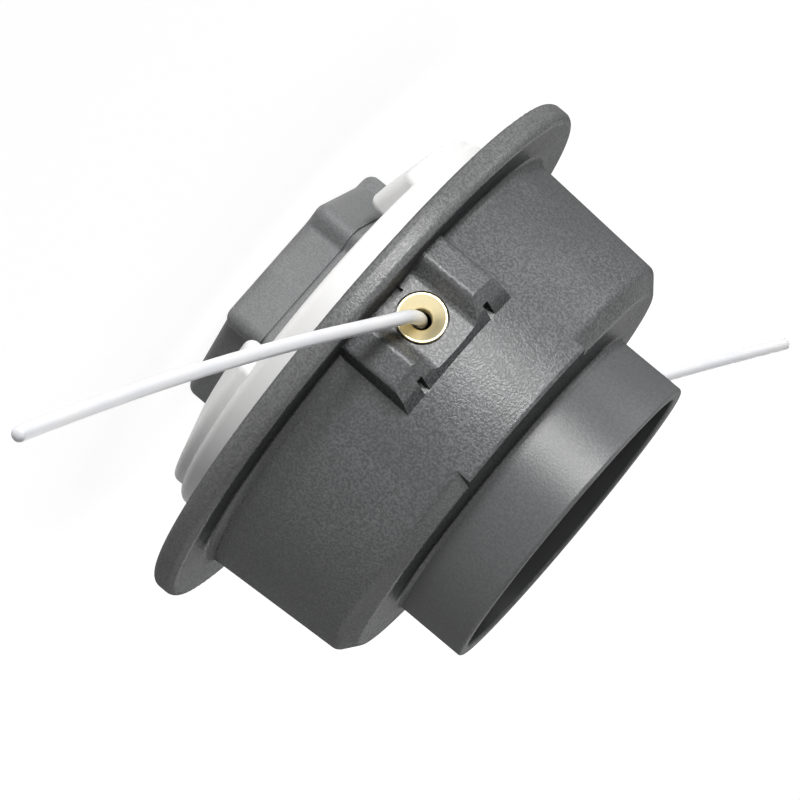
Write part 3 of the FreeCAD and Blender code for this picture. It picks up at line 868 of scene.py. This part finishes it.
@dataclass(frozen=True)
class WoundLine:
    """The line wound in one chamber of the spool, whose outer layer climbs one diameter a turn."""

    node: str
    chamber_middle: float
    hub_radius: float = 18.05 * MM
    crest_radius: float = 32.0 * MM
    diameter: float = 2.4 * MM
    turns_across: int = 4
    steps: int = 144
    rows_a_turn: int = 20
    finish: Finish = MilkyNylon()

    def build(self) -> bpy.types.Object:
        """A ring whose outer face is a helical row of half-round beads.

        The bead coordinate at a height and an angle t is height / diameter - t / turn, so that one turn
        climbs one diameter, and the radius is that of a half circle over the fraction of it.

        Returns:
            The winding as a closed mesh.
        """
        half = 0.5 * self.diameter
        reach = half * self.turns_across
        rise = np.linspace(-reach, reach, self.turns_across * self.rows_a_turn + 1)
        turn = angles(self.steps)
        bead = rise[:, None] / self.diameter - turn[None, :] / FULL_TURN
        offset = 2.0 * (bead - np.floor(bead)) - 1.0
        outer = self.crest_radius - half + half * np.sqrt(np.clip(1.0 - offset * offset, 0.0, 1.0))
        hub = np.full((1, self.steps), self.hub_radius)
        levels = self.chamber_middle + np.concatenate([[-reach], rise, [reach]])
        points = ring_grid(np.vstack([hub, outer, hub]), levels, turn)
        return grid_mesh(self.node + "_turns", points, True, True)

    def assemble(self) -> list[bpy.types.Object]:
        """Makes the winding.

        Returns:
            The one piece.
        """
        piece = self.build()
        settle(piece, self.finish, Body.SPOOL)
        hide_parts(self.node)
        return [piece]


@dataclass(frozen=True)
class DressedSolid:
    """Solids that keep their own shape and take a finish."""

    nodes: tuple[str, ...]
    finish: Finish

    def assemble(self, solids: Mapping[str, bpy.types.Object]) -> list[bpy.types.Object]:
        """Dresses the solids.

        Args:
            solids: The frame's solids by name.

        Returns:
            The dressed ones.
        """
        pieces = [solids[name] for name in self.nodes]
        for piece in pieces:
            self.finish.dress(piece)
        return pieces


def sight(azimuth: float, elevation: float) -> Vector:
    """The direction from the head to a viewer.

    Args:
        azimuth: Degrees from -Y towards +X.
        elevation: Degrees above the floor.

    Returns:
        A unit vector.
    """
    round_z, up = math.radians(azimuth), math.radians(elevation)
    return Vector((math.sin(round_z) * math.cos(up), -math.cos(round_z) * math.cos(up), math.sin(up)))


@dataclass(frozen=True)
class SoftBox:
    """A soft box that looks at the head from an azimuth and an elevation in degrees."""

    name: str
    azimuth: float
    elevation: float
    width: float
    height: float
    watts: float
    distance: float = 1.1

    def build(self, target: Vector) -> None:
        """Makes the lamp.

        Args:
            target: The point that it faces.
        """
        lamp = bpy.data.lights.new(self.name, "AREA")
        lamp.shape = "RECTANGLE"
        lamp.size = self.width
        lamp.size_y = self.height
        lamp.energy = self.watts
        held = show(bpy.data.objects.new(self.name, lamp))
        towards = sight(self.azimuth, self.elevation)
        held.location = target + self.distance * towards
        held.rotation_euler = towards.to_track_quat("Z", "Y").to_euler()


@dataclass(frozen=True)
class Studio:
    """The floor, the soft light and the camera."""

    azimuth: float = 13.0
    elevation: float = 6.05
    roll: float = 129.83
    distance: float = 0.850
    lens_mm: float = 216.9
    sensor_mm: float = 36.0
    aim: tuple[float, float, float] = (0.0, 0.0, 33.0 * MM)
    right_of_middle: float = 3.63 * MM
    above_middle: float = 0.35 * MM
    ambient: float = 0.03
    floor_side: float = 60.0
    floor_paint: Colour = grey(0.8)
    floor_glow: float = 1.42
    glow_share: float = 0.7
    lit_glow: float = 0.1
    lit_middle: float = 0.1
    lit_reach: float = 1.6
    boxes: tuple[SoftBox, ...] = (
        SoftBox("key_box", -19.0, -6.0, 0.55, 0.2, 10.5),
        SoftBox("low_box", -30.0, -55.0, 0.7, 0.7, 4.0),
        SoftBox("side_box", -75.0, 12.0, 0.5, 0.5, 1.5),
        SoftBox("back_box", 195.0, 32.0, 0.8, 0.8, 4.5),
        SoftBox("far_box", 138.0, 30.0, 0.8, 0.8, 1.2),
        SoftBox("top_box", 200.0, 75.0, 0.8, 0.8, 1.6),
    )

    def camera(self) -> None:
        """The camera at the photograph's angle, rolled so that the axis runs to the lower right."""
        towards = sight(self.azimuth, self.elevation)
        across = sight(self.azimuth + 90.0, 0.0)
        turn = math.radians(self.roll)
        right = math.cos(turn) * across + math.sin(turn) * towards.cross(across)
        up = towards.cross(right)
        data = bpy.data.cameras.new("studio_camera")
        data.lens = self.lens_mm
        data.sensor_width = self.sensor_mm
        held = show(bpy.data.objects.new("studio_camera", data))
        middle = Vector(self.aim) - self.right_of_middle * right - self.above_middle * up
        facing = Matrix((right, up, towards)).transposed().to_4x4()
        held.matrix_world = Matrix.Translation(middle + self.distance * towards) @ facing
        bpy.context.scene.camera = held

    @staticmethod
    def seen(graph: Graph) -> Shade:
        """Tells what is looked at from what only lights.

        Args:
            graph: The tree that asks.

        Returns:
            1 for a ray of the camera, of a reflection or through glass, and 0 for any other.
        """
        path = graph.node("ShaderNodeLightPath").socket.node
        direct, mirrored, through = (
            Shade(graph, path.outputs[f"Is {kind} Ray"]) for kind in ("Camera", "Glossy", "Transmission")
        )
        return direct.most(mirrored).most(through)

    def floor(self) -> None:
        """A wide pale floor under the knob, which shows white and keeps a soft shadow.

        The glow is lower where the lamps reach the floor, so that their light and the glow add up to one even
        white. The key and low lamps stand below the floor's level, so it casts no shadow on the head.
        """
        spread = 0.5 * self.floor_side * np.array([-1.0, 0.0, 1.0])
        x, y = np.meshgrid(spread, spread)
        piece = grid_mesh("studio_floor", np.stack([x, y, np.zeros_like(x)], axis=-1), False, False)
        paint = bpy.data.materials.new("studio_floor_look")
        paint.use_nodes = True
        graph = Graph(paint.node_tree)
        x, y, _ = graph.axes(graph.place())
        lit = (x * x + y * y).root().ramp(self.lit_reach, self.lit_middle)
        white = self.floor_glow - self.lit_glow * lit
        glow = graph.node("ShaderNodeEmission", sockets={"Color": white, "Strength": 1.0})
        matt = graph.node("ShaderNodeBsdfDiffuse", sockets={"Color": self.floor_paint})
        share = self.seen(graph) * self.glow_share
        graph.finish(graph.node("ShaderNodeMixShader", sockets={0: share, 1: matt, 2: glow}))
        piece.data.materials.append(paint)
        piece.visible_shadow = False

    def world(self) -> None:
        """Weak ambient light, with a white background wherever it is looked at."""
        world = bpy.data.worlds.new("studio_world")
        world.use_nodes = True
        bpy.context.scene.world = world
        graph = Graph(world.node_tree)
        strength = self.seen(graph) * (1.0 - self.ambient) + self.ambient
        glow = graph.node("ShaderNodeBackground", sockets={"Color": grey(1.0), "Strength": strength})
        graph.finish(glow, "ShaderNodeOutputWorld")

    def build(self) -> None:
        """Sets up the camera, the floor, the world and the lamps."""
        self.camera()
        self.floor()
        self.world()
        for box in self.boxes:
            box.build(Vector(self.aim))
        bpy.context.scene.view_settings.view_transform = "Standard"


FRONT_LINE = CuttingLine(
    node="line_front",
    route=(
        (-0.4, -41.6, 28.9),
        (0.4, -48.2, 28.6),
        (7.6, -56.1, 25.9),
        (20.8, -71.6, 20.9),
        (35.4, -89.4, 16.3),
        (55.6, -114.5, 10.9),
        (75.1, -138.7, 6.9),
    ),
    length=125.9 * MM,
)
REAR_LINE = CuttingLine(
    node="line_rear",
    route=(
        (0.4, 41.6, 28.9),
        (-0.4, 48.2, 29.9),
        (-7.1, 56.1, 33.6),
        (-19.3, 66.5, 39.6),
        (-35.1, 77.6, 47.0),
        (-57.9, 89.7, 58.0),
        (-79.8, 100.7, 70.2),
    ),
    length=110.7 * MM,
)
WINDINGS = (
    WoundLine("line_winding_lower", chamber_middle=19.7 * MM),
    WoundLine("line_winding_upper", chamber_middle=34.5 * MM),
)
SOLIDS = (
    DressedSolid(("housing",), GrainedNylon()),
    DressedSolid(("bump_knob",), SatinNylon()),
    DressedSolid(("spool",), WhiteNylon()),
    DressedSolid(("eyelet_front", "eyelet_rear"), TurnedBrass()),
    DressedSolid(("retaining_bolt", "retaining_washer", "spring_seat"), PlatedSteel()),
)


def main() -> None:
    """Loads the solids, builds every piece in order and reports each one."""
    logging.basicConfig(level=logging.INFO, format="%(name)s: %(message)s")
    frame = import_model()
    Studio().build()
    pieces: list[bpy.types.Object] = []
    for part in (FRONT_LINE, REAR_LINE, CoilSpring(), ThreadedInsert(), *WINDINGS):
        pieces += part.assemble()
    for part in SOLIDS:
        pieces += part.assemble(frame["nodes"])
    for piece in pieces:
        LOG.info("%s wears %s", piece.name, piece.material_slots[0].material.name)


if __name__ == "__main__":
    main()
